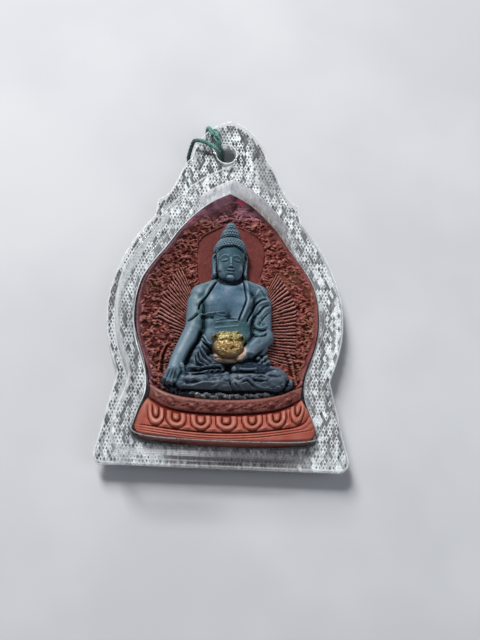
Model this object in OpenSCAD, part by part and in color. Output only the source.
// Prayer box pendant: a clear pressed-plastic case in two shells, a moulded
// clay votive plaque with a seated figure and its bowl, and a thread tie.
// It lies on its back: +Z is out of the front window, +Y is towards the hole.

/* [Case] */
// Length from the bottom edge to the top of the tab
case_len = 83; // [78:0.5:88]
// Width across the foot
case_wid = 54.4; // [51:0.2:58]
// Whole thickness, from the back face to the window
case_thk = 12; // [11.8:0.1:14]
// Height of the back boss under the flange
back_boss = 2; // [1.9:0.1:2.6]
// Thickness of the flange of one shell
flange_t = 1.7; // [1.4:0.1:2.2]
// Thickness of the front window and of the back floor
window_t = 1.5; // [1.2:0.1:1.6]
// Width of the rounded shoulder, as a share of the rim from the cavity to the flange
shoulder = 0.4; // [0.25:0.05:0.6]
// How far the cavity sits to the right of the case's middle
cavity_x = 0.4; // [0.35:0.05:0.45]
// How much narrower the cavity is at the plaque than at the window, as a share of the rim
lean_in = 0.12; // [0.06:0.02:0.12]

/* [Thread hole] */
// Radius of the hole in the tab
hole_r = 2.25; // [2.2:0.05:2.5]
// Distance of the hole's centre from the top of the tab
hole_drop = 8.8; // [8.4:0.1:9.2]
// Sideways offset of the hole
hole_x = -0.9; // [-1.1:0.1:-0.6]

/* [Clay insert] */
// Thickness of the plaque's slab
slab_t = 3; // [2.6:0.1:3.1]
// How far the insert sits to the right of the case's middle
insert_x = 0.45; // [0.3:0.05:0.5]
// Height of the raised border round the slab
border_h = 0.35; // [0.2:0.05:0.6]
// Height of the rays behind the body
ray_h = 0.3; // [0.2:0.05:0.5]
// Number of rays on each side
ray_n = 15; // [9:1:19]
// Number of lotus petals along the throne
petal_n = 7; // [5:2:7]
// Free gap between one piece and the next
gap = 0.05; // [0.03:0.01:0.1]

/* [Thread] */
// Diameter of the tie thread
thread_d = 0.9; // [0.7:0.1:0.9]

/* [Hidden] */
z_part = back_boss + flange_t;          // parting plane of the two shells
z_flange = z_part + flange_t;           // front face of the flange
z_slab0 = window_t + gap;               // back of the slab
z_slab = z_slab0 + slab_t;              // front of the slab
z_ceil = case_thk - window_t;           // inside of the window
hole_y = case_len / 2 - hole_drop;
sx = case_wid / 54.4;
sy = case_len / 83;

// Right half of the flange, from the tab's top to the foot.
// columns: x, y, corner (1 = a sharp corner, 0 = the curve runs through)
flange_rows = [
  [0.0, 41.5, 0], [3.2, 40.2, 0], [5.5, 38.3, 0], [7.4, 35.9, 0], [8.6, 33.0, 0],
  [8.9, 31.2, 1], [9.9, 30.4, 1],
  [10.9, 28.4, 0], [11.9, 25.9, 0], [13.2, 23.0, 0], [14.8, 21.0, 0], [16.3, 20.4, 1],
  [16.7, 16.2, 1],
  [18.6, 13.8, 0], [20.7, 10.7, 0], [22.8, 6.9, 0], [24.5, 2.6, 0], [25.8, -1.9, 0], [26.25, -6.0, 0],
  [26.2, -9.9, 0], [25.7, -13.5, 0], [24.7, -17.3, 0], [23.2, -21.7, 1],
  [24.1, -25.5, 0], [25.0, -29.5, 0], [25.9, -33.8, 0], [26.8, -37.4, 0], [27.2, -39.3, 0],
  [26.9, -40.6, 0], [25.9, -41.4, 0], [24.6, -41.5, 1]];

// Right half of the cavity and of the boss's foot round it.
// columns: cavity x, cavity y, foot x, foot y, corner
rim_rows = [
  [0.0, 23.7, 0.0, 27.5, 1], [4.5, 21.2, 6.1, 24.2, 0], [7.9, 18.2, 10.0, 20.8, 0], [11.5, 14.0, 13.8, 16.4, 0],
  [14.3, 9.7, 16.9, 11.9, 0], [17.3, 5.5, 20.2, 7.3, 0], [19.65, 1.3, 22.7, 2.5, 0], [20.8, -3.5, 24.1, -2.7, 0],
  [21.0, -8.4, 24.4, -8.4, 0], [20.4, -12.8, 23.8, -13.7, 0], [19.0, -17.3, 22.5, -18.2, 0], [18.0, -20.4, 21.4, -21.2, 0],
  [17.6, -23.0, 20.9, -23.0, 0], [17.8, -25.5, 21.2, -24.9, 0], [18.9, -28.6, 22.2, -28.0, 0],
  [19.9, -32.0, 23.3, -31.4, 0], [20.2, -34.4, 23.8, -35.2, 0], [19.3, -35.9, 23.5, -38.9, 0],
  [15.7, -36.7, 21.0, -40.2, 0], [8.0, -37.0, 10.0, -40.3, 0], [0.0, -37.1, 0.0, -40.3, 0]];

// Right half of the clay plaque. columns: x, y, corner
plaque_rows = [
  [0.0, 23.0, 1], [4.1, 20.7, 0], [7.35, 17.9, 0], [10.95, 13.7, 0], [13.75, 9.4, 0], [16.75, 5.25, 0],
  [19.05, 1.1, 0], [20.15, -3.5, 0], [20.35, -8.4, 0], [19.75, -12.7, 0], [18.25, -17.3, 0], [17.2, -20.3, 0],
  [16.75, -22.8, 0], [16.45, -25.2, 0], [16.75, -27.0, 1], [18.2, -29.4, 0], [19.2, -32.0, 0], [19.4, -33.6, 0],
  [18.3, -34.9, 0], [14.3, -35.7, 0], [8.0, -36.3, 0], [0.0, -36.5, 0]];

// Throne bands, each a slice of one leaning half-drum.
// columns: y of the band's top at the wall, height along the drum, half-width, depth out of the slab
throne_rows = [
  [-24.6, 1.3, 15.6, 3.0],   // seat
  [-25.9, 1.5, 16.0, 2.6],   // upper petals
  [-27.4, 0.8, 16.4, 2.3],   // waist
  [-28.2, 3.6, 17.6, 3.7],   // lower petals
  [-31.8, 0.9, 18.2, 4.2],   // step
  [-32.7, 0.9, 18.7, 4.6]];  // foot

// Round-ended limbs and masses of the seated figure, in its own frame, z above the slab.
// columns: from x, y, z, radius, to x, y, z, radius
body_rows = [
  [-3.4, -5.4, 0.9, 3.1,    3.4, -5.4, 0.9, 3.1],     // chest
  [-2.9, -5.6, 0.9, 3.2,   -2.4, -12.2, 0.9, 3.0],    // right flank
  [ 2.9, -5.6, 0.9, 3.2,    2.4, -12.2, 0.9, 3.0],    // left flank
  [-2.6, -12.6, 0.9, 3.2,   2.6, -12.6, 0.9, 3.2],    // belly
  [-5.9, -4.7, 0.7, 2.5,    5.9, -4.7, 0.7, 2.5],     // shoulders
  [ 0.0, 0.6, 1.6, 2.1,     0.0, -2.4, 1.3, 2.7],     // neck
  [-6.6, -5.0, 0.7, 2.4,   -8.0, -11.2, 0.9, 2.0],    // right upper arm
  [-8.0, -11.2, 0.9, 2.0, -10.9, -19.0, 2.6, 1.5],    // right forearm
  [-10.9, -19.2, 2.7, 1.5, -12.0, -23.0, 3.0, 1.3],   // right hand over the knee
  [ 6.8, -5.1, 0.7, 2.6,    8.1, -13.0, 1.1, 2.5],    // left upper arm in its sleeve
  [ 8.1, -13.4, 1.1, 2.4,   2.8, -18.6, 3.0, 1.6],    // left forearm
  [ 2.6, -19.0, 3.0, 1.4,  -2.2, -19.7, 3.1, 1.2],    // left hand in the lap
  [-3.0, -19.6, 0.4, 3.0, -10.4, -22.6, 0.6, 3.0],    // right thigh
  [ 3.0, -19.6, 0.4, 3.0,  10.6, -22.4, 0.7, 3.0],    // left thigh
  [-9.6, -23.4, 1.1, 2.6,   3.0, -24.3, 1.5, 2.2],    // right shin
  [10.0, -23.2, 1.3, 2.6,  -3.0, -23.8, 2.3, 2.1],    // left shin, on top
  [-9.8, -25.4, 0.3, 1.5,   9.8, -25.4, 0.3, 1.5]];   // hem
head_rows = [
  [ 0.1, 6.6, 2.1, 3.75,    0.1, 2.6, 2.3, 2.95],     // skull to chin
  [ 0.05, 10.7, 1.9, 2.35,  0.05, 13.0, 1.7, 1.35],   // topknot
  [-3.6, 6.3, 1.5, 0.55,   -3.5, 1.7, 1.6, 0.6],      // right ear
  [ 3.8, 6.3, 1.5, 0.55,    3.7, 1.7, 1.6, 0.6]];     // left ear     // left ear

// The thread's centre line: a closed loop that goes twice through the hole,
// over the tab's top edge and round its left edge. columns: x, y, z
thread_route = [
  [-1.6, 31.9, 2.3], [-1.6, 32.9, 3.8], [-1.9, 33.5, 5.2], [-2.7, 34.4, 5.95], [-3.4, 35.5, 5.9], [-4.1, 36.9, 5.9],
  [-4.9, 38.6, 5.95], [-5.35, 39.3, 5.3], [-5.5, 39.4, 3.7], [-5.35, 39.3, 1.9], [-4.9, 38.3, 1.35], [-4.0, 35.6, 1.45],
  [-3.2, 33.2, 1.25], [-2.45, 32.4, 2.3], [-2.45, 32.3, 3.8], [-2.6, 32.75, 5.4], [-3.4, 33.6, 6.05], [-4.4, 34.4, 5.9],
  [-5.8, 35.1, 5.9], [-7.3, 35.5, 5.95], [-8.5, 35.6, 5.35], [-9.0, 34.9, 4.2], [-9.4, 33.8, 3.0], [-9.6, 32.6, 1.9],
  [-9.0, 31.2, 1.35], [-7.5, 30.5, 1.3], [-5.6, 30.4, 1.2], [-3.6, 30.6, 1.35], [-2.3, 31.1, 1.4]];
knot_at = [-5.6, 30.4, 1.05];

// ---- curves ----
function dist(a, b) = max(norm(b - a), 1e-6);
// slope at row i, for a piece of length h, from its two neighbours
function slope(p, i, h) =
  let (n = len(p), a = p[(i + n - 1) % n], b = p[i], c = p[(i + 1) % n])
  b[2] == 1 ? [0, 0] :
  let (pa = [a[0], a[1]], pb = [b[0], b[1]], pc = [c[0], c[1]])
  (pc - pa) / (dist(pa, pb) + dist(pb, pc)) * h;
function hermite(a, b, ma, mb, t) =
  (2*pow(t,3) - 3*t*t + 1) * a + (pow(t,3) - 2*t*t + t) * ma
  + (3*t*t - 2*pow(t,3)) * b + (pow(t,3) - t*t) * mb;
// closed curve through rows of x, y, corner, with k points for each row
function curve(p, k) = [
  for (i = [0 : len(p) - 1])
    let (j = (i + 1) % len(p), a = [p[i][0], p[i][1]], b = [p[j][0], p[j][1]], h = dist(a, b),
         steps = p[i][2] == 1 && p[j][2] == 1 ? 1 : k)
    for (s = [0 : steps - 1])
      hermite(a, b, slope(p, i, h), slope(p, j, h), s / steps)];
// whole outline from its right half: the half, then its mirror image from the bottom up
function both_sides(h) = concat(h, [for (i = [len(h) - 1 : -1 : 0]) if (h[i][0] > 0.01) [-h[i][0], h[i][1], h[i][2]]]);
// ring at share t of the way from the cavity to the boss's foot
function rim_row(t) = [for (r = rim_rows) [r[0] + t * (r[2] - r[0]), r[1] + t * (r[3] - r[1]), r[4]]];
function rim(t, k = 3) = [for (p = curve(both_sides(rim_row(t)), k)) [p[0] * sx, p[1] * sy]];
function flange_line(k = 3) = [for (p = curve(both_sides(flange_rows), k)) [p[0] * sx, p[1] * sy]];

// solid through rings of equally many points; each ring is [points, z], the first one lowest
module loft(rings) {
  n = len(rings[0][0]);
  m = len(rings);
  pts = [for (r = rings) for (p = r[0]) [p[0], p[1], r[1]]];
  sides = [for (j = [0 : m - 2]) for (i = [0 : n - 1])
    let (a = j * n + i, b = j * n + (i + 1) % n) each [[a, b, b + n], [a, b + n, a + n]]];
  polyhedron(points = pts,
    faces = concat([[for (i = [n - 1 : -1 : 0]) i]], sides, [[for (i = [0 : n - 1]) (m - 1) * n + i]]),
    convexity = 8);
}

// ---- case ----
// the rounded boss that stands on the flange, from its foot at z0 to its face at z1
module boss(z0, z1) {
  h = z1 - z0;
  steps = 5;
  rings = [for (s = [0 : steps])
    let (a = 90 * s / steps)
    [rim(1 - shoulder * (1 - cos(a))), h * (s == 0 ? 0 : 0.25 + 0.75 * sin(a))]];
  translate([0, 0, z0]) loft(rings);
}

// the cavity opens a little towards the window
module cavity(z0, z1) {
  top = z1 > z_part ? 0 : -lean_in;
  translate([cavity_x, 0, 0]) loft([[rim(-lean_in), z0], [rim(top), z1]]);
}

module tab_hole() {
  translate([hole_x, hole_y, -1]) cylinder(r = hole_r, h = case_thk, $fn = 48);
}

module shell(z0, z1, c0, c1) {
  difference() {
    union() {
      translate([0, 0, z0]) linear_extrude(height = z1 - z0) polygon(flange_line());
      children();
    }
    cavity(c0, c1);
    tab_hole();
  }
}

module case_front() {
  color([0.88, 0.93, 0.94, 0.4])
  shell(z_part + gap / 2, z_flange, z_part - 0.2, z_ceil) boss(z_flange - 0.2, case_thk);
}

module case_back() {
  color([0.82, 0.88, 0.9, 0.4])
  shell(back_boss, z_part - gap / 2, window_t, z_part)
    translate([0, 0, back_boss + 0.2]) mirror([0, 0, 1]) boss(0, back_boss + 0.2);
}

// ---- clay insert ----
module slab() {
  translate([0, 0, z_slab0]) linear_extrude(height = slab_t) polygon(curve(both_sides(plaque_rows), 3));
}

// narrow raised strip round the arch, above the throne
module border() {
  w = 1.3;
  line = curve(both_sides(plaque_rows), 3);
  translate([0, 0, z_slab - 0.1]) linear_extrude(height = border_h + 0.1) difference() {
    polygon(line);
    translate([0, -0.7]) scale([1 - w / 20, 1 - w / 30]) polygon(line);
    translate([-30, -60]) square([60, 35]);
  }
}

module halo() {
  translate([0, 7, z_slab - 0.1]) {
    difference() {
      cylinder(r = 9.1, h = 0.5, $fn = 64);
      translate([0, 0, 0.3]) cylinder(r = 8.2, h = 1, $fn = 64);
    }
  }
}

module rays() {
  for (side = [-1, 1]) for (i = [0 : ray_n - 1])
    translate([0, -15.5, z_slab - 0.1]) rotate(90 + side * (42 + 74 * i / (ray_n - 1)))
      translate([8.6, -0.2, 0]) cube([6.4 + 3.2 * (1 - i / (ray_n - 1)), 0.4, ray_h + 0.1]);
}

function half_ellipse(a, b, n = 40) = [for (i = [0 : n]) [a * cos(180 * i / n), b * sin(180 * i / n)]];

lean = 22;  // how far the drum's axis leans, so that its edges curve down as the photo shows
module throne_bands(grow = 0) {
  for (r = throne_rows)
    translate([0, r[0] + grow, z_slab - 0.4]) rotate([90 + lean, 0, 0])
      linear_extrude(height = r[1] + 2 * grow) polygon(half_ellipse(r[2] + grow, (r[3] + 0.4) / cos(lean) + grow));
}

module petals() {
  half = (petal_n - 1) / 2;
  for (i = [-half : half])
    let (t = 17.4 * i, x = 18 * sin(t), z = 4.1 * cos(t))
      translate([x, -29.9 - z * tan(lean), z_slab - 0.2 + z * 0.93])
        sphere(r = 1.4, $fn = 24);
}

module throne() {
  intersection() {
    union() {
      throne_bands();
      petals();
    }
    translate([-30, -60, z_slab0]) cube([60, 60, z_ceil - z_slab0 - 0.1]);
    translate([0, 0, z_slab0]) linear_extrude(height = 20) polygon(curve(both_sides(plaque_rows), 3));
  }
}

module clay_plaque() {
  color([0.48, 0.25, 0.21])
  translate([insert_x, 0, 0]) union() {
    slab();
    border();
    halo();
    rays();
    throne();
  }
}

module limb(r) {
  hull() {
    translate([r[0], r[1], z_slab + r[2]]) sphere(r = r[3], $fn = 24);
    translate([r[4], r[5], z_slab + r[6]]) sphere(r = r[7], $fn = 24);
  }
}

bowl_at = [0, -15.4, 2.7];  // its middle in the figure's frame
module bowl_shape(grow = 0) {
  translate(bowl_at + [0, 0, z_slab]) rotate([-90, 0, 0]) {
    intersection() {
      sphere(r = 3.3 + grow, $fn = 40);
      translate([-5, -5, -4]) cube([10, 10, 4.6 + grow]);
    }
    for (i = [-2 : 2])
      rotate([0, 0, -90 + i * 36]) translate([2.35, 0, 0.3]) rotate([0, 12, 0])
        cylinder(r1 = 0.95 + grow, r2 = 0.25 + grow, h = 2.5 + grow, $fn = 16);
  }
}

module seated_figure() {
  color([0.24, 0.34, 0.42])
  translate([insert_x, 0, 0]) difference() {
    intersection() {
      union() {
        for (r = body_rows) limb(r);
        for (r = head_rows) limb(r);
      }
      translate([-20, -40, z_slab + 0.35 + gap]) cube([40, 60, z_ceil - gap - z_slab - 0.4]);
    }
    halo_clear();
    throne_clear();
    bowl_shape(0.06);
  }
}

module halo_clear() {
  translate([0, 7, z_slab]) difference() {
    cylinder(r = 9.2, h = 0.46, $fn = 64);
    cylinder(r = 8.1, h = 3, center = true, $fn = 64);
  }
}

module throne_clear() {
  throne_bands(grow = 0.06);
}

module bowl() {
  color([0.76, 0.6, 0.3])
  translate([insert_x, 0, 0]) intersection() {
    bowl_shape();
    translate([-10, -30, z_slab + 0.6]) cube([20, 30, z_ceil - gap - z_slab - 0.65]);
  }
}

// ---- thread ----
function wrap_i(i, n) = (i % n + n) % n;
// closed smooth line through the route's points, k points for each
function smooth_loop(p, k) = [
  for (i = [0 : len(p) - 1]) for (s = [0 : k - 1])
    let (n = len(p), t = s / k, a = p[wrap_i(i - 1, n)], b = p[i], c = p[wrap_i(i + 1, n)], d = p[wrap_i(i + 2, n)])
    0.5 * ((2 * b) + (c - a) * t + (2 * a - 5 * b + 4 * c - d) * t * t + (3 * b - a - 3 * c + d) * pow(t, 3))];

module tube(line, r, sides = 8) {
  n = len(line);
  // a steady sideways direction, square to the line at each point
  function along(i) = let (v = line[wrap_i(i + 1, n)] - line[wrap_i(i - 1, n)]) v / norm(v);
  function side_of(i, ref) = let (s = ref - (ref * along(i)) * along(i)) s / norm(s);
  refs = [for (i = 0, s = side_of(0, [1, 0.3, 0.1]); i < n; i = i + 1, s = side_of(i % n, s)) s];
  // the twist left after one round, shared out along the loop
  last = side_of(0, refs[n - 1]);
  up0 = cross(along(0), refs[0]);
  twist = atan2(last * up0, last * refs[0]);
  pts = [for (i = [0 : n - 1]) for (j = [0 : sides - 1])
    let (a = 360 * j / sides - twist * i / n, u = refs[i], v = cross(along(i), u))
    line[i] + r * (cos(a) * u + sin(a) * v)];
  faces = [for (i = [0 : n - 1]) for (j = [0 : sides - 1])
    let (a = i * sides + j, b = i * sides + (j + 1) % sides, c = ((i + 1) % n) * sides + j, d = ((i + 1) % n) * sides + (j + 1) % sides)
    each [[a, c, d], [a, d, b]]];
  polyhedron(points = pts, faces = faces, convexity = 10);
}

module thread_tie() {
  color([0.12, 0.42, 0.4])
  union() {
    tube(smooth_loop(thread_route, 3), thread_d / 2);
    translate(knot_at) sphere(r = 0.9, $fn = 12);
  }
}

case_front();
case_back();
clay_plaque();
seated_figure();
bowl();
thread_tie();
